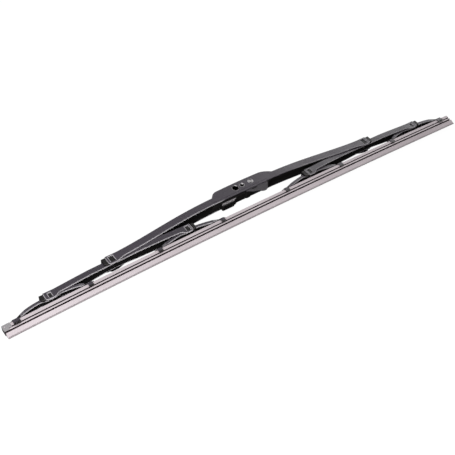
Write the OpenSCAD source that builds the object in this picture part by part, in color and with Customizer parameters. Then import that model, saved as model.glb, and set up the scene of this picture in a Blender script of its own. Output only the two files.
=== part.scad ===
// Framed wiper blade, lying on its side: X runs along the blade, Y from the lip
// up to the bridge, Z across it. The origin is the middle of the arm bore.

/* [Wiping strip] */
// Length of the strip, end to end
strip_len = 551; // [546:1:558]
// Rise of the strip's middle over its ends when nothing presses on it
strip_bow = 3.7; // [2.5:0.1:5]
// Thickness of the lip
lip_t = 0.7; // [0.6:0.1:1]
// Height of the parallel part of the lip
lip_h = 1.5; // [1:0.1:2]
// Height of the wedge over the lip
wedge_h = 4; // [3:0.1:5]
// Width across the wedge's shoulders
shoulder_w = 4.6; // [4.2:0.1:5]
// Height of the thin neck that lets the lip flip over
neck_h = 1.5; // [1.4:0.1:2]
// Thickness of the neck
neck_w = 1.4; // [1:0.1:1.6]
// Height of the lower flange, under the claws' hooks
flange_h = 2; // [1.6:0.1:2.4]
// Width of the lower flange
flange_w = 4.4; // [4:0.1:4.6]
// Height of the groove for the rails
groove_h = 0.9; // [0.8:0.05:1.2]
// Thickness of the rubber left between the two grooves
groove_web = 1.8; // [1.6:0.1:2.2]
// Height of the head over the rails
head_h = 3.8; // [3.4:0.1:4.2]
// Width of the head
head_w = 5.2; // [5:0.1:5.6]

/* [Rails and end clip] */
// Width of each spring rail
rail_w = 0.9; // [0.8:0.05:1.1]
// How far each rail stops short of the strip's ends
rail_inset = 3; // [1:0.5:6]
// Play of a rail in its groove, all round
rail_play = 0.05; // [0.03:0.01:0.08]
// Room between the end clip and the tongue of the claw beside it
clip_gap = 0.4; // [0.3:0.1:1]
// Sheet thickness of the end clip
clip_t = 0.4; // [0.3:0.1:0.6]

/* [Claw yokes] */
// Distance between the two claws of a yoke
yoke_span = 73.4; // [70:0.2:76]
// Distance from the strip's end to the middle of its last claw
end_margin = 12.7; // [12:0.1:16]
// Share of the strip left free by the yokes that lies between the two inner ones
mid_share = 0.351; // [0.3:0.005:0.4]
// Sheet thickness of a yoke
yoke_t = 0.8; // [0.6:0.1:1]
// Width of a yoke's channel, outside
yoke_w = 5.6; // [5.2:0.1:5.8]
// Rise of a yoke's back over the strip's head
yoke_rise = 7.7; // [7.2:0.1:8]
// Height of a yoke's side wall at its pivot
yoke_wall = 4.9; // [4.4:0.1:5.2]
// Fullness of an outer yoke's back: the higher, the flatter at its crown
bend_out = 2.9; // [2:0.1:4]
// Fullness of an inner yoke's back
bend_in = 1.65; // [1.5:0.05:3]
// Length of a claw along the blade
claw_len = 4.6; // [4:0.1:6]
// Length of the claws at the blade's ends
end_claw_len = 6.4; // [5.8:0.1:7]
// Length of the tongue that runs on past a claw
tongue_l = 2.3; // [1.5:0.1:2.6]
// Length of the tongue at the blade's ends
end_tongue = 1.6; // [1:0.1:2]
// How far the claws at the blade's ends reach below the others
end_claw_drop = 0.8; // [0:0.1:1]
// Radius of the bend over a claw's shoulders
claw_bend = 1.2; // [1:0.1:1.4]
// Width of the tongue and of the neck before a claw
tongue_w = 3.4; // [3:0.1:4]
// Gap between a claw and the strip
claw_play = 0.3; // [0.2:0.05:0.35]
// Length of the oval slot in the end claws
claw_slot = 4.4; // [3:0.1:4.6]

/* [Arms] */
// Place of an arm's pivot between its two yokes, as a share of their distance
arm_share = 0.549; // [0.52:0.005:0.57]
// Sheet thickness of an arm
arm_t = 0.9; // [0.7:0.1:1]
// Width of an arm's channel, outside
arm_w = 7.4; // [7.2:0.1:7.6]
// Width of an arm at its flared ends, outside
arm_end_w = 9.8; // [9.6:0.1:9.9]
// Height of an arm's back over the lip at its pivot
arm_top = 30.1; // [29.5:0.1:30.6]
// Height of an arm's side wall
arm_wall = 6.4; // [6:0.1:6.6]
// Height of an arm's back over the yoke's back at each end
arm_over_yoke = 3.3; // [3.2:0.1:3.6]
// How far an arm runs past its outer yoke's pivot
arm_past_out = 5.4; // [5:0.1:5.8]
// How far an arm runs past its inner yoke's pivot
arm_past_in = 4.2; // [4:0.1:5]

/* [Bridge] */
// Sheet thickness of the bridge
bridge_t = 1; // [0.9:0.05:1.1]
// Width of the bridge beside the hump, outside
bridge_w = 12.6; // [12.5:0.1:13.4]
// Width of the bridge at its ends, outside
bridge_end_w = 11.5; // [11.4:0.1:12]
// Height of the bridge's back over the arm's back at its pivot
bridge_over_arm = 3.4; // [3.2:0.1:3.6]
// Height of the bridge's back over the lip beside the hump
bridge_top = 43.9; // [43:0.1:45]
// Height of the bridge's side wall beside the hump
bridge_wall = 8.5; // [8:0.1:9]
// How much lower the side wall is at the bridge's ends
wall_taper = 0.4; // [0:0.1:1]
// How far the bridge runs past its pivots
bridge_past = 5.4; // [5:0.1:6]
// Height of the hump over the bridge's back
hump_h = 6.1; // [5.6:0.1:7]
// Crown of the hump's top edge
hump_crown = 0.4; // [0:0.1:0.8]
// Where the hump starts, from the blade's middle
hump_a = -35.3; // [-37:0.1:-34]
// Where the hump ends, from the blade's middle
hump_b = 42; // [40:0.5:44]
// Length of the hump's left shoulder
hump_rise = 9.5; // [8:0.5:12]
// Length of the hump's right shoulder
hump_fall = 16; // [12:0.5:18]
// Depth of the pressed step along the hump's foot
step_d = 0.25; // [0.15:0.05:0.35]
// Height of the pressed step
step_h = 2.5; // [1.5:0.1:3.5]

/* [Joints] */
// Radius of the studs that the yokes turn on
yoke_stud_r = 1.2; // [1:0.05:1.3]
// Radius of the studs that the arms turn on
arm_stud_r = 1.5; // [1.3:0.05:1.6]
// Running clearance of a stud in its hole, on the radius
stud_play = 0.05; // [0.02:0.01:0.08]
// Metal left between a stud's hole and the channel's back
stud_edge = 0.75; // [0.6:0.05:0.9]
// Side play between a channel and the insert around it
side_play = 0.15; // [0.1:0.01:0.2]
// Ear below the arm's pivot, down to the bridge's lower edge
bridge_ear = 4.3; // [4:0.1:4.6]
// Ear below an inner yoke's pivot
inner_ear = 3.8; // [3.4:0.1:4]
// Ear below an outer yoke's pivot
outer_ear = 3; // [2.8:0.1:3.4]
// Length and height of the windows at the arms' outer ends
outer_win = [3.2, 5.5];
// Length and height of the windows at the arms' inner ends
inner_win = [4.4, 6.7];
// Length and height of the windows in the bridge's ends
bridge_win = [5.2, 7.7];
// Metal over the windows at the arms' outer ends
outer_win_edge = 2; // [1.6:0.1:2.2]
// Metal over the windows at the arms' inner ends
inner_win_edge = 1.3; // [1.1:0.1:1.5]
// Metal over the windows in the bridge's ends
bridge_win_edge = 1.3; // [1.1:0.1:1.6]
// How far an insert's collar stands out past its channel's end
insert_out = 4.1; // [3:0.1:4.4]
// Length of an insert inside its channel, past the pivot
insert_in = 6; // [5:0.1:7]
// How far an insert's boss lies below the channel's outside face
boss_in = 0.7; // [0.3:0.05:0.8]
// Roof of an arm's insert
arm_roof = 1.2; // [1:0.1:1.3]
// Seat between a channel's back and its insert
roof_seat = 0.1; // [0.05:0.05:0.2]
// Room between a channel's back and the roof over it
roof_gap = 1; // [0.95:0.05:1.1]

/* [Arm mount] */
// Distance of the arm bore from the blade's middle, negative to the left
bore_x = -5.7; // [-7:0.1:-5.4]
// Height of the arm bore over the bridge's lower edge
bore_up = 8.4; // [8:0.1:9]
// Radius of the arm bore
bore_r = 3.2; // [3:0.05:3.3]
// Chamfer at the bore's ends
bore_chamfer = 0.45; // [0.3:0.05:0.5]
// Wall of the bush around the arm bore
bush_wall = 0.65; // [0.5:0.05:0.7]
// Distance of the adapter's pin from the arm bore
pin_dx = 8.4; // [8.3:0.1:9.4]
// Radius of the adapter's pin
pin_r = 2.85; // [2.5:0.05:2.9]
// Radius of the bore through the adapter's pin
pin_bore_r = 1.6; // [1.2:0.1:1.8]
// Distance of the stay rivet from the adapter's pin
stay_dx = 10.9; // [10.4:0.1:11.6]
// Radius of the stay rivet
stay_r = 3.1; // [2.7:0.05:3.2]
// Fit of the bush, pin and rivet in the bridge's walls, on the radius
seat_play = 0.02; // [0.01:0.01:0.03]
// Thickness of the lock clip
lock_t = 1.2; // [1:0.1:1.4]
// Gap between the adapter and its neighbours
adapter_gap = 0.35; // [0.3:0.01:0.4]
// Height of the adapter's bar
plate_h = 3.8; // [3.4:0.1:4.4]
// Wall of the adapter's bar and foot
plate_wall = 1.3; // [1.1:0.1:1.6]
// How far the adapter's foot hangs below its bar
foot_drop = 2; // [1:0.1:3]
// Length of the adapter's foot
foot_len = 14.5; // [12:0.5:16]
// How far the adapter's foot is set in from its bar's faces
foot_set = 0.9; // [0.6:0.1:1.2]

/* [Hidden] */
$fn = 64;

paint = [0.30, 0.29, 0.31];
paint_light = [0.42, 0.41, 0.44];
plastic = [0.13, 0.13, 0.14];
steel = [0.72, 0.72, 0.74];
rubber = [0.80, 0.77, 0.79];

half_len = strip_len/2;

// Pivots from the blade's middle: the yokes share the strip out, the arms share the yokes
outer_x = half_len - end_margin - yoke_span/2;
inner_x = yoke_span/2 + mid_share*(outer_x - 1.5*yoke_span);
arm_x = inner_x + arm_share*(outer_x - inner_x);

bow_r = (half_len*half_len + strip_bow*strip_bow)/(2*strip_bow);
bow_a = asin(half_len/bow_r);
// Height of the lip's tip over its own ends, at a distance x from the middle
function lip_y(x) = strip_bow - bow_r + sqrt(bow_r*bow_r - x*x);

// Heights of the strip's section over the lip's tip
y_wedge = lip_h;
y_neck = y_wedge + wedge_h;
y_flange = y_neck + neck_h;
y_groove = y_flange + flange_h;
y_head = y_groove + groove_h;
y_top = y_head + head_h;

// Claw yoke, over the lip's tip under its pivot
claw_top = y_top + claw_play + yoke_t;
crown = y_top + yoke_rise;
stud_v = crown - yoke_t - stud_edge - yoke_stud_r;
claw_half = head_w/2 + claw_play + yoke_t;
yoke_half = yoke_span/2;
tab_low = y_groove - 0.25;
neck_taper = 7;
wall_rise = 1.5;
hook_play = 0.15;
hook_z = groove_web/2 + rail_play + rail_w + 0.1;

// Height of each yoke's own base line, and its lean, from the two claws on the bow
function base_y(x) = (lip_y(x - yoke_half) + lip_y(x + yoke_half))/2;
function lean(x) = atan2(lip_y(x + yoke_half) - lip_y(x - yoke_half), yoke_span);
inner_pin_y = base_y(inner_x) + stud_v;
outer_pin_y = base_y(outer_x) + stud_v;

// Arm, as distances from its own pivot: inwards is positive
in_s = arm_x - inner_x;
out_s = outer_x - arm_x;
in_top = base_y(inner_x) + crown + arm_over_yoke;
out_top = base_y(outer_x) + crown + arm_over_yoke;
arm_pin_y = arm_top - arm_t - stud_edge - arm_stud_r;
// The back runs level over the last stretch before each pivot
end_level = 6.2;
function arm_back(s) = s > 0 ? arm_top - (arm_top - in_top)*pow(min(1, s/(in_s - end_level)), 2.2)
    : arm_top - (arm_top - out_top)*pow(min(1, -s/(out_s - end_level)), 1.3);
function arm_foot(s) = arm_back(s) - arm_wall;
flare_flat = 8;
ear_flat = 3;
ear_rise = 6;
flare_from = 11;
flare_mid = 25;

// Bridge
bridge_half = bridge_w/2;
bridge_in = bridge_half - bridge_t;
bridge_end_top = arm_top + bridge_over_arm;
bridge_end = arm_x + bridge_past;
bridge_low = bridge_top - bridge_wall;
ease_from = 36;
ease_to = arm_x - insert_in - 1;
function ease(x) = pow(max(0, min(1, (abs(x) - ease_from)/(ease_to - ease_from))), 1.2);
// The back falls away from the hump half straight and half in an S
function bridge_back(x) = bridge_top
    - (bridge_top - bridge_end_top)*(ease(x) + (1 - cos(180*ease(x)))/2)/2;
function bridge_foot(x) = bridge_back(x) - bridge_wall + wall_taper*pow(ease(x), 2);
bridge_end_half = bridge_end_w/2;
bridge_ear_flat = 1;
bridge_ear_rise = 13;
taper_from = 60;

// Share of the way up from an ear's lower edge, at a distance d inwards of its pivot
function dip(d, flat, rise) = (1 - cos(180*max(0, min(1, (d - flat)/rise))))/2;

bore_y = bridge_low + bore_up;
pin_x = bore_x + pin_dx;
stay_x = pin_x + stay_dx;
bush_r = bore_r + bush_wall;
hub_r = pin_dx - bush_r - adapter_gap;

// Points along an arc
function arc(c, r, a, b, n) = [for (i = [0:n])
    [c[0] + r*cos(a + (b - a)*i/n), c[1] + r*sin(a + (b - a)*i/n)]];

// Points along a curve that leaves a towards k and arrives at b from k
function bend(a, k, b, n) = [for (i = [0:n]) let(t = i/n)
    (1 - t)*(1 - t)*a + 2*t*(1 - t)*k + t*t*b];

// Everything is drawn from the blade's middle and moved to the arm bore here
module seated() { translate([-bore_x, -bore_y, 0]) children(); }

// A flat shape drawn in side view, as a plate from z0 to z1
module plate(z0, z1) { translate([0, 0, z0]) linear_extrude(z1 - z0) children(); }

// The same plate on both sides of the middle
module both(z0, z1) {
    plate(z0, z1) children();
    plate(-z1, -z0) children();
}

// A shape drawn from above, as x and z, run up through y0 to y1
module upright(y0, y1) {
    translate([0, y1, 0]) rotate([90, 0, 0]) linear_extrude(y1 - y0) children();
}

// Sweep of a section along the strip's bow, cut back by inset at both ends
module along_bow(inset) {
    a = bow_a - asin(inset/bow_r);
    translate([0, strip_bow - bow_r, 0])
        rotate([0, 0, 90 - a])
            rotate_extrude(angle = 2*a, $fn = 2400)
                translate([bow_r, 0]) children();
}

module strip_section() {
    half = [[0, lip_t/2], [y_wedge, lip_t/2], [y_neck - 0.5, shoulder_w/2 - 0.15],
        [y_neck - 0.35, shoulder_w/2], [y_neck, shoulder_w/2], [y_neck, neck_w/2],
        [y_flange, neck_w/2], [y_flange, flange_w/2], [y_groove, flange_w/2],
        [y_groove, groove_web/2], [y_head, groove_web/2], [y_head, head_w/2],
        [y_top - 0.5, head_w/2], [y_top, head_w/2 - 0.5]];
    n = len(half) - 1;
    polygon(concat(half, [for (i = [n:-1:0]) [half[i][0], -half[i][1]]]));
}

module rubber_strip() { color(rubber) seated() along_bow(0) strip_section(); }

module rail(side) {
    z0 = groove_web/2 + rail_play;
    color(steel) seated() along_bow(rail_inset)
        translate([y_groove + rail_play, side > 0 ? z0 : -z0 - rail_w])
            square([groove_h - 2*rail_play, rail_w]);
}
module rail_near() { rail(1); }
module rail_far() { rail(-1); }

// Sheet cap pressed over the strip's left end: deep at the end, shallow beside the claw
module end_clip() {
    x0 = -half_len - clip_t;
    x1 = -half_len + end_margin - end_claw_len/2 - end_tongue - clip_gap;
    xm = (x0 + x1)/2;
    z1 = head_w/2 + clip_t;
    y0 = y_flange - 0.3;
    play = 0.05;
    color(steel) seated()
        translate([xm, lip_y(xm), 0])
            rotate([0, 0, atan2(lip_y(xm + 1) - lip_y(xm - 1), 2)])
                translate([-xm, 0, 0])
                    difference() {
                        plate(-z1, z1) polygon([[x0, y0], [x0 + 4.4, y0], [x0 + 5.4, y_groove - 0.2],
                            [x1, y_groove - 0.2], [x1, y_top + clip_t - 0.3],
                            [x1 - 0.3, y_top + clip_t], [x0 + 0.5, y_top + clip_t],
                            [x0, y_top + clip_t - 0.5]]);
                        translate([-half_len - 0.12, y0 - 1, -z1 + clip_t - play])
                            cube([end_margin, y_top - y0 + 1.08, 2*(z1 - clip_t + play)]);
                        translate([x0 + 2, y_head + 1.7, 0]) cylinder(h = 3*z1, r = 0.7, center = true);
                    }
}

// Claw yoke about its own middle: x from the pivot, y over the lip
function yoke_back(u, bend) = max(claw_top,
    crown - (crown - claw_top)*pow(abs(u)/(yoke_half + 0.4), bend));
function yoke_foot(u, bend) = max(y_top + claw_play,
    yoke_back(u, bend) - yoke_wall + wall_rise*dip(abs(u), ear_flat, 8));

module yoke_shape(slot_side, bend) {
    function half_claw(k) = (k == slot_side ? end_claw_len : claw_len)/2;
    function tip(k) = half_claw(k) + (k == slot_side ? end_tongue : tongue_l);
    u0 = -yoke_half - tip(-1);
    u1 = yoke_half + tip(1);
    steps = [for (i = [0:44]) u0 + (u1 - u0)*i/44];
    n0 = -yoke_half + half_claw(-1);
    n1 = yoke_half - half_claw(1);
    walls = [for (i = [0:36]) n0 + (n1 - n0)*i/36];
    channel = [[n0, tongue_w/2], [n0 + neck_taper, yoke_w/2], [n1 - neck_taper, yoke_w/2],
        [n1, tongue_w/2]];
    difference() {
        union() {
            // Back of the channel, running on as a tongue through each claw
            intersection() {
                plate(-claw_half, claw_half) polygon(concat(
                    [for (u = steps) [u, yoke_back(u, bend)]],
                    [for (i = [44:-1:0]) [steps[i], yoke_back(steps[i], bend) - yoke_t]]));
                upright(0, crown + 1)
                    plan_strip(concat([[u0, tongue_w/2]], channel, [[u1, tongue_w/2]]), 0);
            }
            // Side walls
            intersection() {
                plate(-yoke_w/2, yoke_w/2) polygon(concat(
                    [for (u = walls) [u, yoke_back(u, bend) - yoke_t/2]],
                    [for (i = [36:-1:0]) [walls[i], yoke_foot(walls[i], bend)]]));
                upright(0, crown + 1) difference() {
                    plan_strip(channel, 0);
                    plan_strip(channel, yoke_t);
                }
            }
            // Claws: a saddle over the head, sides down past the groove, hooks turned in
            for (k = [-1, 1]) translate([k*yoke_half, 0, 0]) {
                l = half_claw(k);
                intersection() {
                    translate([-l, 0, 0]) rotate([90, 0, 90]) linear_extrude(2*l) claw_section();
                    plate(-claw_half, claw_half) claw_side(l, k == slot_side ? end_claw_drop : 0);
                }
                both(hook_z, claw_half - yoke_t/2) translate([-l + 0.6, y_groove + hook_play])
                    square([2*l - 1.2, groove_h - 2*hook_play]);
            }
        }
        translate([0, stud_v, 0]) cylinder(h = 2*yoke_w, r = yoke_stud_r + stud_play, center = true);
        if (slot_side != 0) translate([slot_side*yoke_half, y_groove + 0.25, 0])
            for (k = [-1, 1]) translate([0, 0, k*claw_half]) {
                cube([claw_slot - 1.2, 1.2, 2*yoke_t], center = true);
                for (e = [-1, 1]) translate([e*(claw_slot - 1.2)/2, 0, 0])
                    cylinder(h = 2*yoke_t, r = 0.6, center = true);
            }
    }
}

// Section of a claw, as height and z: sheet bent over the head with round shoulders
module claw_section() {
    z_in = claw_half - yoke_t;
    r_in = claw_bend - yoke_t;
    low = y_flange;
    function shoulder(z, top, r) = concat([[low, z]], arc([top - r, z - r], r, 90, 0, 5));
    outer = shoulder(claw_half, claw_top, claw_bend);
    inner = shoulder(z_in, claw_top - yoke_t, r_in);
    n = len(outer) - 1;
    polygon(concat(outer, [for (i = [n:-1:0]) [outer[i][0], -outer[i][1]]],
        [for (p = inner) [p[0], -p[1]]], [for (i = [n:-1:0]) inner[i]]));
}

// Side of a claw, with its lower corners cut; deeper by more at the blade's ends
module claw_side(l, more) {
    low = tab_low - more;
    polygon([[-l, claw_top], [-l, low + 0.7], [-l + 0.5, low], [l - 0.5, low], [l, low + 0.7],
        [l, claw_top]]);
}

// A yoke at its place on the bow, with x negative on the left half
module yoke_at(x, slot_side) {
    color(paint_light) seated()
        translate([x, base_y(abs(x)) + stud_v, 0])
            rotate([0, 0, x < 0 ? -lean(-x) : lean(x)])
                translate([0, -stud_v, 0])
                    yoke_shape(slot_side, abs(x) > arm_x ? bend_out : bend_in);
}
module claw_yoke_1() { yoke_at(-outer_x, -1); }
module claw_yoke_2() { yoke_at(-inner_x, 0); }
module claw_yoke_3() { yoke_at(inner_x, 0); }
module claw_yoke_4() { yoke_at(outer_x, 1); }

// Saddle that lines a channel's end and stands out past it as a collar. Its studs carry
// the channel inside it, and its bosses sit in the outer channel's windows. x is positive
// towards the channel's end; wall is the outer channel's sheet and ear its ear's depth.
module insert_shape(pin_y, ear, roof_y, roof_t, out_half, wall, in_half, in_t, past, win, win_foot,
    stud_r) {
    x0 = -insert_in;
    x1 = past + insert_out;
    foot = pin_y - ear + 1.1;
    cheek_in = in_half + side_play;
    rim = past + 0.05;
    union() {
        both(cheek_in, out_half) polygon(concat(
            [[x0, roof_y], [x0, foot + 1.4], [x0 + 1.4, foot]],
            arc([x1 - 2.4, foot + 2.4], 2.4, -90, 0, 5), [[x1, roof_y]]));
        both(out_half - 0.2, out_half + wall - 0.25) polygon(concat([[rim, foot + 0.2]],
            arc([x1 - 2.4, foot + 2.6], 2.4, -90, 0, 5), [[x1, roof_y + 0.2], [rim, roof_y + 0.2]]));
        plate(-out_half, out_half) polygon([[x0, roof_y], [x0, roof_y - roof_t],
            [past, roof_y - roof_t], [x1, roof_y - roof_t + 0.6], [x1, roof_y + 0.2],
            [x1 - 0.5, roof_y + wall - 0.2], [rim, roof_y + wall - 0.2], [rim, roof_y]]);
        both(out_half - 0.2, out_half + wall - boss_in)
            translate([-win[0]/2 + 0.15, win_foot + 0.15])
                square([win[0] - 0.3, pin_y + stud_r + 0.6 - win_foot]);
        for (k = [-1, 1]) translate([0, pin_y, k*(cheek_in - in_t/2 + 0.1)])
            cylinder(h = in_t + 0.2, r = stud_r, center = true);
    }
}

// Insert at an arm's end; x is the pivot and dir points to the arm's end
module claw_insert(x, dir) {
    outer = abs(x) > arm_x;
    top = outer ? out_top : in_top;
    win = outer ? outer_win : inner_win;
    color(plastic) seated() translate([x, 0, 0]) mirror([dir < 0 ? 1 : 0, 0, 0])
        insert_shape(outer ? outer_pin_y : inner_pin_y, outer ? outer_ear : inner_ear,
            top - arm_t - roof_seat, arm_roof, arm_end_w/2 - arm_t, arm_t, yoke_w/2, yoke_t,
            outer ? arm_past_out : arm_past_in, win,
            top - (outer ? outer_win_edge : inner_win_edge) - win[1], yoke_stud_r);
}
module claw_insert_1() { claw_insert(-outer_x, -1); }
module claw_insert_2() { claw_insert(-inner_x, 1); }
module claw_insert_3() { claw_insert(inner_x, -1); }
module claw_insert_4() { claw_insert(outer_x, 1); }

module bridge_insert(x) {
    color(plastic) seated() translate([x, 0, 0]) mirror([x < 0 ? 1 : 0, 0, 0])
        insert_shape(arm_pin_y, bridge_ear, bridge_end_top - bridge_t - roof_seat,
            bridge_over_arm - bridge_t - roof_seat - roof_gap, bridge_end_half - bridge_t, bridge_t,
            arm_w/2, arm_t, bridge_past, bridge_win,
            bridge_end_top - bridge_win_edge - bridge_win[1], arm_stud_r);
}
module bridge_insert_left() { bridge_insert(-arm_x); }
module bridge_insert_right() { bridge_insert(arm_x); }

// Arm drawn about its pivot, x positive inwards: a U channel whose walls spread at
// both ends, with an ear and a window at each joint
module arm_shape() {
    s0 = -out_s - arm_past_out;
    s1 = in_s + arm_past_in;
    n = 44;
    steps = [for (i = [0:n]) s0 + (s1 - s0)*i/n];
    w0 = arm_w/2;
    w1 = arm_end_w/2;
    wm = (w0 + 2*w1)/3;
    plan = [[s0, w1], [-out_s + flare_flat, w1], [-flare_mid, wm], [-flare_from, w0],
        [flare_from, w0], [flare_mid, wm], [in_s - flare_flat, w1], [s1, w1]];
    difference() {
        union() {
            // Back
            intersection() {
                plate(-w1, w1) polygon(concat([for (s = steps) [s, arm_back(s)]],
                    [for (i = [n:-1:0]) [steps[i], arm_back(steps[i]) - arm_t]]));
                upright(0, arm_top + 1) plan_strip(plan, 0);
            }
            // Walls
            intersection() {
                plate(-w1, w1) arm_side(steps, n, s0, s1);
                upright(0, arm_top + 1) difference() {
                    plan_strip(plan, 0);
                    plan_strip(plan, arm_t);
                }
            }
        }
        translate([0, arm_pin_y, 0])
            cylinder(h = 2*arm_w, r = arm_stud_r + stud_play, center = true);
        for (e = [[-out_s, out_top - outer_win_edge, outer_win],
            [in_s, in_top - inner_win_edge, inner_win]])
            translate([e[0] - e[2][0]/2, e[1] - e[2][1], -arm_w])
                cube([e[2][0], e[2][1], 2*arm_w]);
    }
}

// Outline from above, moved in by t on both sides and run on past the ends
module plan_strip(plan, t) {
    n = len(plan) - 1;
    run = t > 0 ? 1 : 0;
    function px(i) = plan[i][0] + (i == 0 ? -run : i == n ? run : 0);
    polygon(concat([for (i = [0:n]) [px(i), plan[i][1] - t]],
        [for (i = [n:-1:0]) [px(i), -plan[i][1] + t]]));
}

// Side view of an arm: back, end faces, the two ears and the foot between them
module arm_side(steps, n, s0, s1) {
    r = 2.6;
    o_foot = outer_pin_y - outer_ear;
    i_foot = inner_pin_y - inner_ear;
    function low(s) = s > 0 ? i_foot + (arm_foot(s) - i_foot)*dip(in_s - s, ear_flat, ear_rise)
        : o_foot + (arm_foot(s) - o_foot)*dip(out_s + s, ear_flat, ear_rise);
    lows = [for (i = [2*n:-1:0]) let(s = s0 + (s1 - s0)*i/(2*n)) if (s > -out_s + 1 && s < in_s - 1)
        [s, low(s)]];
    polygon(concat([for (s = steps) [s, arm_back(s) - 0.2]],
        arc([s1 - r, i_foot + r], r, 0, -90, 8), lows, arc([s0 + r, o_foot + r], r, -90, -180, 8)));
}

module arm(x) {
    color(paint_light) seated() translate([x, 0, 0]) mirror([x > 0 ? 1 : 0, 0, 0]) arm_shape();
}
module arm_left() { arm(-arm_x); }
module arm_right() { arm(arm_x); }

// Stations along half of the bridge, from the hump to its rounded end
end_round = 0.8;
function bridge_steps(from) = [for (i = [0:46]) from + (bridge_end - end_round - from)*i/46];

// Half of the bridge's side view, from the hump outwards, drawn to the right
module bridge_side(from) {
    r = 2.8;
    foot = arm_pin_y - bridge_ear;
    xs = bridge_steps(from);
    n = len(xs) - 1;
    polygon(concat([for (x = xs) [x, bridge_back(x)]], [[bridge_end, bridge_end_top - end_round]],
        arc([bridge_end - r, foot + r], r, 0, -90, 8),
        [for (i = [n:-1:0]) if (xs[i] < arm_x) [xs[i],
            foot + (bridge_foot(xs[i]) - foot)*dip(arm_x - xs[i], bridge_ear_flat, bridge_ear_rise)]]));
}

// Side view of the hump's walls: a short shoulder on the left and a long one on the right
module hump_side() {
    top = bridge_top + hump_h;
    n = 12;
    a = hump_a + hump_rise;
    b = hump_b - hump_fall;
    polygon(concat([[hump_a, bridge_low]],
        bend([hump_a, bridge_top - 0.6], [hump_a + 0.46*hump_rise, top], [a, top], 10),
        [for (i = [1:n - 1]) [a + (b - a)*i/n, top + hump_crown*sin(180*i/n)]],
        bend([b, top], [b + hump_fall/2, top], [hump_b, bridge_top - 0.6], 12),
        [[hump_b, bridge_low]]));
}

// The bridge seen from above, narrower at its ends; moved in by t on both sides
module bridge_plan(t) {
    flat = arm_x - insert_in - 1;
    plan_strip([[-bridge_end, bridge_end_half], [-flat, bridge_end_half], [-taper_from, bridge_half],
        [taper_from, bridge_half], [flat, bridge_end_half], [bridge_end, bridge_end_half]], t);
}

// The bridge: two long walls with a back between them, open over the hump so that
// the arm's hook can enter, with ears and windows at both ends
module main_bridge() {
    web_gap = 2;
    color(paint) seated() difference() {
        union() {
            intersection() {
                plate(-bridge_half, bridge_half) union() {
                    hump_side();
                    bridge_side(hump_b - web_gap);
                    mirror([1, 0]) bridge_side(-hump_a - web_gap);
                }
                upright(0, bridge_top + hump_h + 2) difference() {
                    bridge_plan(0);
                    bridge_plan(bridge_t);
                }
            }
            intersection() {
                plate(-bridge_half, bridge_half) {
                    bridge_web(hump_b - web_gap);
                    mirror([1, 0]) bridge_web(-hump_a - web_gap);
                }
                upright(0, bridge_top + hump_h + 2) bridge_plan(0);
            }
        }
        // Holes for the bush, the adapter's pin and the stay rivet
        translate([bore_x, bore_y, 0]) cylinder(h = 2*bridge_w, r = bush_r + seat_play, center = true);
        translate([pin_x, bore_y, 0]) cylinder(h = 2*bridge_w, r = pin_r + seat_play, center = true);
        translate([stay_x, bore_y, 0]) cylinder(h = 2*bridge_w, r = stay_r + seat_play, center = true);
        // Windows for the inserts' bosses
        for (s = [-1, 1])
            translate([s*arm_x - bridge_win[0]/2, bridge_end_top - bridge_win_edge - bridge_win[1],
                -bridge_w])
                cube([bridge_win[0], bridge_win[1], 2*bridge_w]);
        // Pressed step along the foot of the hump
        for (s = [-1, 1]) translate([hump_a - 3, bridge_low - 1, s > 0 ? bridge_half - step_d
            : -bridge_half - 1])
            cube([hump_b - hump_a - 9, step_h + 1, 1 + step_d]);
    }
}

module bridge_web(from) {
    xs = bridge_steps(from);
    polygon(concat([for (x = xs) [x, bridge_back(x)]],
        [for (i = [len(xs) - 1:-1:0]) [xs[i], bridge_back(xs[i]) - bridge_t]]));
}

// Bush that the arm's side pin turns in
module arm_bush() {
    c = bore_chamfer;
    color(steel) seated() translate([bore_x, bore_y, 0]) difference() {
        cylinder(h = bridge_w, r = bush_r, center = true);
        cylinder(h = bridge_w + 2, r = bore_r, center = true);
        for (k = [0, 1]) mirror([0, 0, k]) translate([0, 0, bridge_half - c])
            cylinder(h = 2*c, r1 = bore_r, r2 = bore_r + 2*c);
    }
}

// Hollow pin with dished ends, which the adapter turns on
module adapter_pin() {
    lip = 0.35;
    color(steel) seated() translate([pin_x, bore_y, 0]) rotate_extrude()
        polygon([[pin_bore_r, -bridge_half + 1], [pin_r - lip, -bridge_half], [pin_r, -bridge_half],
            [pin_r, bridge_half], [pin_r - lip, bridge_half], [pin_bore_r, bridge_half - 1]]);
}

// Rivet that stays the hump's walls, with two half-moon recesses in each end
module stay_rivet() {
    color(steel) seated() translate([stay_x, bore_y, 0]) difference() {
        cylinder(h = bridge_w, r = stay_r, center = true);
        for (k = [-1, 1]) translate([0, 0, k*bridge_half]) difference() {
            cylinder(h = 2.4, r = stay_r - 0.5, center = true);
            rotate([0, 0, 60]) cube([2.2, 4*stay_r, 4], center = true);
        }
    }
}

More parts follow.
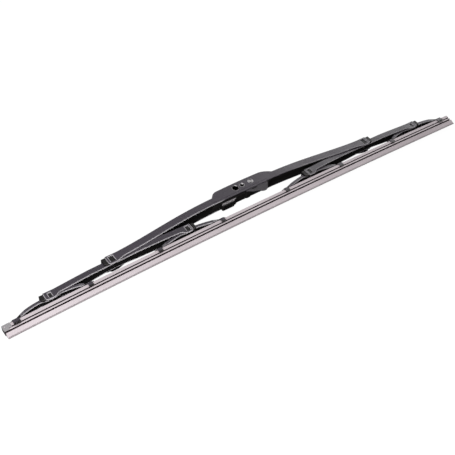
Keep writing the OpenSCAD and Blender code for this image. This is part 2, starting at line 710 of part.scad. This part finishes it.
// Lock clip inside the near wall: a ring on the stay rivet and a thumb tab below the wall
module lock_clip() {
    z1 = bridge_in;
    ring = stay_r + 1.9;
    tab = [[-11.4, -1.5], [-8.3, -2.6], [-5.1, -5], [-0.7, -6.2], [3.4, -9], [5.2, -9.7], [7.6, -9.8],
        [9.6, -9], [11.2, -7.3], [15.2, -1.5]];
    color(plastic) seated() difference() {
        union() {
            plate(z1 - lock_t, z1) translate([stay_x, bore_y]) circle(ring);
            plate(z1 - lock_t, z1) polygon(concat(
                [[stay_x - ring + 0.3, bore_y], [stay_x - ring + 0.2, bridge_low + 3],
                [stay_x - 11.4, bridge_low + 0.6]],
                [for (p = tab) [stay_x + p[0], bridge_low + p[1]]],
                [[stay_x + 15.2, bridge_low + 0.6], [stay_x + ring + 0.6, bridge_low + 2],
                [stay_x + ring - 0.3, bore_y]]));
        }
        translate([stay_x, bore_y, 0])
            cylinder(h = 2*bridge_w, r = stay_r + seat_play, center = true);
        translate([stay_x - 4.6, bridge_low - 2, 0]) cube([6, 1.5, bridge_w]);
    }
}

// Adapter for a hooked arm: a hub on the pin, a stem, a broad bar and a foot below it
module arm_adapter() {
    z0 = -bridge_in + adapter_gap;
    z1 = bridge_in - lock_t - adapter_gap;
    y1 = bridge_low + 1.2;
    y0 = y1 - plate_h;
    low = y0 - foot_drop;
    xa = hump_a + 6;
    xb = pin_x + hub_r + 0.6;
    xf = xa + foot_len;
    color(plastic) seated() difference() {
        union() {
            plate(z0, z1) translate([pin_x, bore_y]) circle(hub_r);
            plate(z0, z1) polygon([[pin_x - hub_r + 0.4, bore_y], [pin_x + hub_r - 0.4, bore_y],
                [xb, y1 - 1], [pin_x - hub_r - 2, y1 - 1], [pin_x - hub_r - 0.6, y1 + 1.2]]);
            plate(z0, z1) polygon(concat([[xb, y0 + 1.6], [xb, y1 - 1.5], [xb - 1.5, y1]],
                arc([xa + 1.8, y1 - 1.8], 1.8, 90, 180, 4),
                [[xa, y0], [xf + 2, y0], [xf + 5, y0 + 1.6]]));
            plate(z0 + foot_set, z1 - foot_set) polygon(concat([[xa - 0.4, y0 + 1], [xa - 0.6, low + 1.2]],
                arc([xa + 0.6, low + 1.2], 1.2, 180, 270, 4),
                arc([xf - 1.6, low + 1.6], 1.6, 270, 330, 4), [[xf + 1.2, y0 + 1]]));
            // Lug under the stem
            plate(z0 + foot_set, z1 - foot_set) polygon([[xb - 6.6, y0 + 2], [xb - 5.6, y0 + 0.2],
                [xb - 1.4, y0 + 0.2], [xb - 0.4, y0 + 2]]);
        }
        translate([pin_x, bore_y, 0])
            cylinder(h = 2*bridge_w, r = pin_r + stud_play, center = true);
        // Pocket in the foot, from below
        translate([xa + plate_wall, low - 1, z0 + foot_set + plate_wall])
            cube([foot_len - 2*plate_wall - 1, y1 - plate_wall - low + 1,
                z1 - z0 - 2*foot_set - 2*plate_wall]);
    }
}

main_bridge();
arm_bush();
adapter_pin();
stay_rivet();
lock_clip();
arm_adapter();
bridge_insert_left();
bridge_insert_right();
arm_left();
arm_right();
claw_insert_1();
claw_insert_2();
claw_insert_3();
claw_insert_4();
claw_yoke_1();
claw_yoke_2();
claw_yoke_3();
claw_yoke_4();
rubber_strip();
rail_near();
rail_far();
end_clip();
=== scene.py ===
import math
import bpy
from mathutils import Euler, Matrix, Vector


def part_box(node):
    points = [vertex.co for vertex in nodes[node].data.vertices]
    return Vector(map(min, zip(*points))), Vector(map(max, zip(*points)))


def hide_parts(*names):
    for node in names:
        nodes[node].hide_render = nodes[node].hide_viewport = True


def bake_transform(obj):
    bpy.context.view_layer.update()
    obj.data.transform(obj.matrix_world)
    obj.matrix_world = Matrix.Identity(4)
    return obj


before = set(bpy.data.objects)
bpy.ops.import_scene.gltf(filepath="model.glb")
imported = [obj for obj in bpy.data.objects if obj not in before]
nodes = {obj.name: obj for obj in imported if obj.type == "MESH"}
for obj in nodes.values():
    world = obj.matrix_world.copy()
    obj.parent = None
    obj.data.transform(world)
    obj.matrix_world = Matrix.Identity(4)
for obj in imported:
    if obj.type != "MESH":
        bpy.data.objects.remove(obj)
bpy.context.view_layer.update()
BRIDGE = ["main_bridge"]
ARMS = ["arm_left", "arm_right"]
YOKES = ["claw_yoke_1", "claw_yoke_2", "claw_yoke_3", "claw_yoke_4"]
INSERTS = ["bridge_insert_left", "bridge_insert_right",
           "claw_insert_1", "claw_insert_2", "claw_insert_3", "claw_insert_4"]

# All lengths are in metres, apart from the strip's section.
# The arm bore, which is the origin, from the blade's middle and over the lip's ends
BORE = (-0.0057, 0.0438)
# The strip's half length, and its bow: the rise over the ends and the radius
HALF, BOW = 0.2755, 0.0037
RADIUS = (HALF * HALF + BOW * BOW) / (2 * BOW)
# The arms' pivots from the blade's middle
ARM_X = 0.159
# Heights over the lip of the claws' backs and of their hooks
CLAW_TOP, HOOK_TOP = 0.0144, 0.0105
# Half widths of the hollows: from and to a distance, the width there. The bridge is measured
# from the blade's middle and the arms from their pivots, with a flare and then a taper.
BRIDGE_TAPER = (0.06, 0.152, 0.00535, 0.0048)
ARM_FLARE = (0.011, 0.025, 0.00285, 0.00365)
ARM_TAPER = (0.025, 0.059, 0.0, 0.0004)
YOKE_HOLLOW = 0.00205
# The hump: its reach to both sides and the height of its pressed step
HUMP_REACH, HUMP_STEP = 0.05, -0.0071
# Over these stretches the bridge's foot without the painted edge highlight begins and ends
FOOT_FROM, FOOT_TO = (-0.024, -0.018), (0.065, 0.085)
# The adapter's edge gets a painted highlight over this height and left of this place
ADAPTER_HIGHLIGHT = (-0.012, -0.0065)

PAINT = (0.067, 0.057, 0.073)
# A darker copy of the paint for the arms and yokes: painted shade
SHADED_PAINT = tuple(c * 0.85 for c in PAINT)
# Near white, for the painted highlight on the sheet's cut edges
EDGE_HIGHLIGHT = (0.72, 0.69, 0.72)
# Painted shadow on the claws' hooks, where they sit in the strip's groove
HOOK_SHADOW = (0.012, 0.009, 0.009)
# Painted shade in the channels' hollows
HOLLOW_SHADE = (0.004, 0.003, 0.003)
# Painted shade deep in the bores of the fittings
BORE_SHADE = (0.010, 0.009, 0.009)
FITTING = (0.42, 0.405, 0.415), (0.54, 0.525, 0.535), (0.36, 0.46)
# Painted shade in the rubber's lip, neck and groove
RUBBER_SHADE = (0.030, 0.017, 0.020)
# How far the painted edge highlight reaches in from an edge, and how high the grain stands
HIGHLIGHT_REACH = 0.0014
GRAIN = 0.0001
# A face looks up or back where its normal's Y is over this
BACKWARD = 0.3


# Materials
class Tree:
    """Short calls for a material's nodes."""

    def __init__(self, name):
        self.material = bpy.data.materials.new(name)
        self.material.use_nodes = True
        self.nt = self.material.node_tree
        self.shader = self.nt.nodes["Principled BSDF"]
        coordinates = self.nt.nodes.new("ShaderNodeTexCoord")
        self.obj = coordinates.outputs["Object"]
        self.place = self.split(self.obj)
        self.normal = self.split(coordinates.outputs["Normal"])

    def split(self, vector):
        n = self.nt.nodes.new("ShaderNodeSeparateXYZ")
        self.nt.links.new(vector, n.inputs[0])
        return n.outputs

    def put(self, socket, value):
        if isinstance(value, (int, float)):
            socket.default_value = value
        elif isinstance(value, tuple):
            socket.default_value = (*value, 1)
        else:
            self.nt.links.new(value, socket)

    def math(self, op, a, b=0.0):
        n = self.nt.nodes.new("ShaderNodeMath")
        n.operation = op
        self.put(n.inputs[0], a)
        self.put(n.inputs[1], b)
        return n.outputs[0]

    def size(self, a):
        return self.math("ABSOLUTE", a)

    def less(self, a, b):
        return self.math("LESS_THAN", a, b)

    def more(self, a, b):
        return self.math("GREATER_THAN", a, b)

    def both(self, a, b):
        return self.math("MULTIPLY", a, b)

    def either(self, a, b):
        return self.math("MAXIMUM", a, b)

    def without(self, a, b):
        """a where b isn't."""
        return self.both(a, self.math("SUBTRACT", 1.0, b))

    def from_middle(self):
        """The place along the blade, from its middle."""
        return self.math("ADD", self.place["X"], BORE[0])

    def ramp(self, value, lo, hi, to_lo, to_hi):
        n = self.nt.nodes.new("ShaderNodeMapRange")
        for key, v in (("Value", value), ("From Min", lo), ("From Max", hi),
                       ("To Min", to_lo), ("To Max", to_hi)):
            self.put(n.inputs[key], v)
        return n.outputs["Result"]

    def noise(self, scale, detail=3.0, stretch=None):
        n = self.nt.nodes.new("ShaderNodeTexNoise")
        n.inputs["Scale"].default_value = scale
        n.inputs["Detail"].default_value = detail
        vector = self.obj
        if stretch:
            m = self.nt.nodes.new("ShaderNodeMapping")
            m.inputs["Scale"].default_value = stretch
            self.nt.links.new(vector, m.inputs["Vector"])
            vector = m.outputs["Vector"]
        self.nt.links.new(vector, n.inputs["Vector"])
        return n.outputs["Fac"]

    def patches(self, scale, detail, to_lo, to_hi, stretch=None):
        """Soft patches of noise between two values."""
        return self.ramp(self.noise(scale, detail, stretch), 0.3, 0.7, to_lo, to_hi)

    def mix(self, fac, a, b):
        n = self.nt.nodes.new("ShaderNodeMix")
        n.data_type = "RGBA"
        for key, v in (("Factor", fac), ("A", a), ("B", b)):
            self.put(n.inputs[key], v)
        return n.outputs["Result"]

    def soft(self, radius):
        """The normal as if every edge were rounded by radius, in the object's frame."""
        n = self.nt.nodes.new("ShaderNodeBevel")
        n.samples = 6
        n.inputs["Radius"].default_value = radius
        v = self.nt.nodes.new("ShaderNodeVectorTransform")
        v.vector_type = "NORMAL"
        v.convert_from = "WORLD"
        v.convert_to = "OBJECT"
        self.nt.links.new(n.outputs["Normal"], v.inputs[0])
        return self.split(v.outputs[0])

    def bump(self, height, strength):
        n = self.nt.nodes.new("ShaderNodeBump")
        n.inputs["Strength"].default_value = strength
        n.inputs["Distance"].default_value = GRAIN
        self.nt.links.new(height, n.inputs["Height"])
        self.nt.links.new(n.outputs["Normal"], self.shader.inputs["Normal"])

    def set(self, **values):
        for key, v in values.items():
            self.put(self.shader.inputs[key.replace("_", " ")], v)
        return self.material


def painted(name, color, hollow, no_highlight=None, shadowed=None):
    """Satin paint on sheet steel. The sheet's cut edges get a painted highlight, weaker to the
    right, and the channel's hollow gets painted shade. hollow gives its half width from the
    tree, the next argument 1 where no edge is highlighted, the last 1 where painted shadow lies."""
    t = Tree(name)
    inside = t.less(t.size(t.place["Z"]), hollow(t))
    not_back = t.less(t.normal["Y"], BACKWARD)
    in_hollow = t.both(inside, not_back)

    edge = t.soft(HIGHLIGHT_REACH)
    cut = t.less(t.size(t.normal["Z"]), 0.75)
    low = t.ramp(edge["Y"], -0.35, -0.06, 1.0, 0.0)
    end = t.both(t.ramp(t.size(edge["X"]), 0.1, 0.5, 0.0, 1.0), t.less(edge["Y"], BACKWARD))
    highlight = t.both(t.either(cut, t.either(low, end)), not_back)
    rim = t.without(highlight, inside)
    if no_highlight:
        rim = t.without(rim, no_highlight(t))
    # The painted highlight grows weaker to the right, with random breaks
    painted_highlight = t.both(t.both(rim, t.ramp(t.place["X"], -0.03, 0.1, 1.0, 0.4)),
                  t.ramp(t.noise(380, 4), 0.25, 0.6, 0.8, 1.0))

    base = t.mix(t.patches(45, 4, 0.0, 1.0), color, tuple(c * 1.12 for c in color))
    base = t.mix(painted_highlight, base, EDGE_HIGHLIGHT)
    # Painted shadow on the claws' hooks
    if shadowed:
        base = t.mix(shadowed(t), base, HOOK_SHADOW)
    # Painted shade in the channel's hollow
    base = t.mix(in_hollow, base, HOLLOW_SHADE)
    gloss = t.patches(70, 5, 0.34, 0.44)
    t.bump(t.noise(900, 2), 0.04)
    return t.set(Base_Color=base, Roughness=t.math("ADD", gloss, t.both(in_hollow, 0.4)),
                 Specular_IOR_Level=0.5)


def bridge_hollow(t):
    return t.ramp(t.size(t.from_middle()), *BRIDGE_TAPER)


def arm_hollow(t):
    s = t.size(t.math("SUBTRACT", t.size(t.from_middle()), ARM_X))
    return t.math("ADD", t.ramp(s, *ARM_FLARE), t.ramp(s, *ARM_TAPER))


def yoke_hollow(t):
    return YOKE_HOLLOW


def no_edge_highlight(t):
    """Where the bridge's edges get no painted highlight: the hump above its pressed step, and the
    bridge's foot right of the adapter.
    """
    x = t.place["X"]
    above = t.both(t.less(t.size(x), HUMP_REACH), t.more(t.place["Y"], HUMP_STEP))
    foot = t.both(t.ramp(x, *FOOT_FROM, 0.0, 1.0), t.ramp(x, *FOOT_TO, 1.0, 0.0))
    return t.either(above, foot)


def below(t, height):
    """1 below a height over the bowed strip's lip."""
    x = t.from_middle()
    sag = t.math("DIVIDE", t.math("MULTIPLY", x, x), 2 * RADIUS)
    return t.less(t.math("ADD", t.place["Y"], sag), BOW - BORE[1] + height)


def claws(t):
    return below(t, CLAW_TOP)


def hooks(t):
    return below(t, HOOK_TOP)


def moulded(name, dark, light, highlight, bounds=None):
    """Moulded black plastic with a fine grain, with a painted highlight on its lower corners.
    bounds are the lowest Y and the greatest X of the highlighted stretch."""
    t = Tree(name)
    edge = t.soft(HIGHLIGHT_REACH)
    highlight_mask = t.both(t.ramp(edge["Y"], -0.45, -0.05, 1.0, 0.0), t.ramp(edge["Z"], 0.3, 0.8, 0.0, 1.0))
    if bounds:
        low, right = bounds
        highlight_mask = t.both(highlight_mask, t.both(t.more(t.place["Y"], low), t.less(t.place["X"], right)))
    t.bump(t.noise(1300, 3), 0.12)
    return t.set(Base_Color=t.mix(highlight_mask, t.mix(t.noise(120, 4), dark, light), highlight),
                 Roughness=t.patches(90, 4, 0.42, 0.56), Specular_IOR_Level=0.35)


def metal(name, dark, light, gloss, deep=None):
    """Drawn steel with fine scratches along the blade. Its hollows get painted shade: deep gives
    two distances from the blade's middle plane, and the painted shade fades out from one to the
    other."""
    t = Tree(name)
    t.bump(t.noise(700, 3, (1, 6, 6)), 0.08)
    base = t.mix(t.noise(160, 4), dark, light)
    if deep:
        base = t.mix(t.ramp(t.size(t.place["Z"]), *deep, 1.0, 0.0), base, BORE_SHADE)
    return t.set(Base_Color=base, Metallic=1.0, Roughness=t.patches(300, 3, *gloss, (1, 8, 8)))


def powdered_rubber():
    """Rubber with pale powder on it, with painted shade where the mesh's attribute groove says."""
    t = Tree("rubber")
    groove = t.nt.nodes.new("ShaderNodeAttribute")
    groove.attribute_name = "groove"
    t.bump(t.noise(500, 3, (0.08, 1, 1)), 0.04)
    powder = t.mix(t.patches(60, 5, 0.0, 1.0, (0.3, 1, 1)), (0.70, 0.62, 0.65), (0.79, 0.71, 0.74))
    return t.set(Base_Color=t.mix(groove.outputs["Fac"], powder, RUBBER_SHADE),
                 Roughness=t.patches(140, 4, 0.46, 0.6), Specular_IOR_Level=0.3)


paint = painted("bridge_paint", PAINT, bridge_hollow, no_edge_highlight)
arm_paint = painted("arm_paint", SHADED_PAINT, arm_hollow)
# The claws get no painted edge highlight, and their hooks get painted shadow
yoke_paint = painted("yoke_paint", SHADED_PAINT, yoke_hollow, claws, hooks)
# The last colour of each plastic is its painted edge highlight
plastic = moulded("plastic", (0.010, 0.009, 0.009), (0.018, 0.016, 0.016), (0.10, 0.09, 0.09))
adapter_plastic = moulded("adapter_plastic", (0.012, 0.011, 0.011), (0.020, 0.018, 0.018),
                          (0.85, 0.80, 0.83), ADAPTER_HIGHLIGHT)
tab_plastic = moulded("tab_plastic", (0.060, 0.054, 0.062), (0.072, 0.065, 0.074),
                      (0.12, 0.11, 0.12))
steel = metal("steel", (0.62, 0.60, 0.62), (0.76, 0.74, 0.76), (0.5, 0.62))
fittings = metal("fittings", *FITTING, (0.0052, 0.0058))
rivet = metal("rivet", *FITTING, (0.0058, 0.0062))
spring = metal("spring", (0.05, 0.046, 0.046), (0.08, 0.075, 0.075), (0.3, 0.4))
rubber = powdered_rubber()


def dress(names, mat, bevel=0.0):
    """Give pieces their material and, with a bevel, small rounded edges."""
    for n in names:
        o = nodes[n]
        o.data.materials.clear()
        o.data.materials.append(mat)
        if bevel:
            m = o.modifiers.new("edge", "BEVEL")
            m.width = bevel
            m.segments = 3
            m.limit_method = "ANGLE"
            m.angle_limit = math.radians(40)


dress(BRIDGE, paint, 0.0003)
dress(ARMS, arm_paint, 0.0003)
dress(YOKES, yoke_paint, 0.00025)
dress(INSERTS, plastic, 0.0002)
dress(["arm_adapter"], adapter_plastic, 0.0002)
dress(["lock_clip"], tab_plastic, 0.0002)
dress(["arm_bush", "adapter_pin"], fittings)
dress(["stay_rivet"], rivet)
dress(["end_clip"], steel, 0.0001)


# The rubber strip and its rails, swept in pieces along the bow
# Half of the strip's section: height over the lip's tip and half width, in mm
STRIP = [(0, 0.24), (0.12, 0.35), (1.4, 0.35), (1.7, 0.46), (4.8, 2.1), (5, 2.25), (5.15, 2.3),
         (5.27, 2.26), (5.35, 2.15), (5.35, 0.78), (5.45, 0.7), (7.1, 0.7), (7.2, 0.78),
         (7.2, 2.05), (7.25, 2.15), (7.35, 2.2), (8.7, 2.2), (8.8, 2.15), (8.85, 2.05),
         (8.85, 0.9), (10, 0.9), (10, 2.45), (10.04, 2.56), (10.15, 2.6), (13.15, 2.6),
         (13.35, 2.55), (13.6, 2.25), (13.7, 2.1)]
# Heights between which the rubber gets painted shade, and how dark: the lip, the neck and the
# groove
SHADES = [(0, 1.4, 0.45), (5.3, 7.22, 1.0), (8.82, 10.02, 1.0)]
# A rail's lower and upper height and its inner and outer distance from the middle, in mm
RAIL = (9.05, 9.85, 0.95, 1.85)
# How far the rails end inside the strip, and the length of one step along it
RAIL_INSET = 0.003
STEP = 0.004
SIDES = {"left_arm": "right_arm", "bridge": "bridge", "claws_1": "claws_4", "claws_2": "claws_3"}
# Where the bends beside the blade's middle meet. It is farther out on the left, where the
# adapter's foot hangs over the strip.
MEET_LEFT, MEET_RIGHT = 0.0305, 0.027


def ring(angle, points):
    """Section points (height over the lip, z) in mm, placed on the bow at an angle."""
    out = []
    for v, z in points:
        r = RADIUS + v / 1000
        out.append((r * math.sin(angle) - BORE[0],
                    BOW - RADIUS + r * math.cos(angle) - BORE[1], z / 1000))
    return out


def swept(name, sections, x0, x1, material):
    """One mesh of closed sections swept along the bow from x0 to x1, with end caps."""
    a0, a1 = math.asin(x0 / RADIUS), math.asin(x1 / RADIUS)
    n = max(2, round((x1 - x0) / STEP))
    verts, faces = [], []
    for points in sections:
        first, k = len(verts), len(points)
        for i in range(n + 1):
            verts += ring(a0 + (a1 - a0) * i / n, points)
        for i in range(n):
            for j in range(k):
                p, q = first + i * k, (j + 1) % k
                faces.append((p + j, p + q, p + k + q, p + k + j))
        faces.append(tuple(first + k - 1 - j for j in range(k)))
        faces.append(tuple(first + n * k + j for j in range(k)))
    mesh = bpy.data.meshes.new(name)
    mesh.from_pydata(verts, [], faces)
    mesh.materials.append(material)
    piece = bpy.data.objects.new(name, mesh)
    bpy.context.scene.collection.objects.link(piece)
    return piece


def left_spans(meet):
    """The left half's pieces: their ends from the blade's middle, the two bodies that each
    bends between, and the stretch that it bends over, which lies between two claws."""
    return [(-HALF, -0.151, "claws_1", "left_arm", -0.189, -0.152),
            (-0.151, -0.077, "left_arm", "claws_2", -0.150, -0.114),
            (-0.077, -meet, "claws_2", "left_arm", -0.0395, -meet - 0.0005),
            (-meet, 0.0, "left_arm", "bridge", 0.0002 - meet, -0.001)]


def shade_grooves(strip, outline):
    """Write each vertex's painted shade, by its height in the section, to the attribute groove."""
    shade = strip.data.attributes.new("groove", "FLOAT", "POINT")
    for k in range(len(strip.data.vertices)):
        height = outline[k % len(outline)][0]
        shade.data[k].value = sum(much for lo, hi, much in SHADES if lo <= height <= hi)


def strip_pieces():
    outline = STRIP + [(v, -z) for v, z in reversed(STRIP)]
    v0, v1, z0, z1 = RAIL
    rails = [[(v0, z0), (v0, z1), (v1, z1), (v1, z0)],
             [(v0, -z1), (v0, -z0), (v1, -z0), (v1, -z1)]]
    spans = left_spans(MEET_LEFT) + [(-b, -a, SIDES[q], SIDES[p], -t1, -t0)
                                     for a, b, p, q, t0, t1 in reversed(left_spans(MEET_RIGHT))]
    for i, (x0, x1, a, b, from_x, to_x) in enumerate(spans, 1):
        strip = swept(f"strip_{i}", [outline], x0, x1, rubber)
        shade_grooves(strip, outline)
        rail = swept(f"rails_{i}", rails, max(x0, RAIL_INSET - HALF), min(x1, HALF - RAIL_INSET),
                     spring)
        for piece, stands_for in ((strip, ("rubber_strip",)), (rail, ("rail_near", "rail_far"))):
            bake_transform(piece)
            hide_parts(*stands_for)


strip_pieces()

# Floor, light and camera
FLOOR_SIZE, FLOOR_GAP = 40, 0.0001
low = min(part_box(n)[0][2] for n in nodes)
bpy.ops.mesh.primitive_plane_add(size=FLOOR_SIZE, location=(0, 0, low - FLOOR_GAP))
floor = bpy.context.object
floor.name = "floor"
# Floor and world are white for the camera only, so they don't light the blade's undersides
floor.visible_diffuse = floor.visible_glossy = False
floor.data.materials.append(Tree("floor").set(
    Base_Color=(0.1, 0.1, 0.1), Roughness=0.9, Specular_IOR_Level=0.0,
    Emission_Color=(1.0, 1.0, 1.0), Emission_Strength=0.97))


def area(name, loc, aim, size, power):
    """A square soft light at loc that points at aim."""
    d = bpy.data.lights.new(name, "AREA")
    d.energy = power
    d.size = size
    o = bpy.data.objects.new(name, d)
    o.location = loc
    o.rotation_euler = (Vector(aim) - Vector(loc)).to_track_quat("-Z", "Y").to_euler()
    bpy.context.scene.collection.objects.link(o)


area("over", (0.1, 0.1, 1.1), (0.05, 0.03, 0), 1.2, 4.5)
area("left", (-0.45, -0.25, 0.32), (-0.25, 0, 0), 0.25, 1.0)
area("front", (-0.5, -0.65, 0.42), (-0.05, 0, 0), 0.45, 3.2)
area("back", (1.3, 0.85, 1.0), (0.15, 0, 0), 0.9, 8)
world = bpy.data.worlds.new("world")
bpy.context.scene.world = world
world.use_nodes = True
sky = world.node_tree.nodes["Background"]
sky.inputs["Color"].default_value = (1, 1, 1, 1)
sky.inputs["Strength"].default_value = 1.0
world.cycles_visibility.diffuse = world.cycles_visibility.glossy = False

# The camera was fitted to the claws, the pivot windows and the lip in the photograph
lens = bpy.data.cameras.new("camera")
lens.lens = 60.267
lens.sensor_width = 36
lens.clip_start = 0.01
camera = bpy.data.objects.new("camera", lens)
camera.location = (-0.35179, -0.45457, 0.54661)
camera.rotation_euler = Euler((0.76306, -0.03634, -0.61045), "XYZ")
bpy.context.scene.collection.objects.link(camera)
bpy.context.scene.camera = camera
bpy.context.scene.view_settings.view_transform = "Standard"
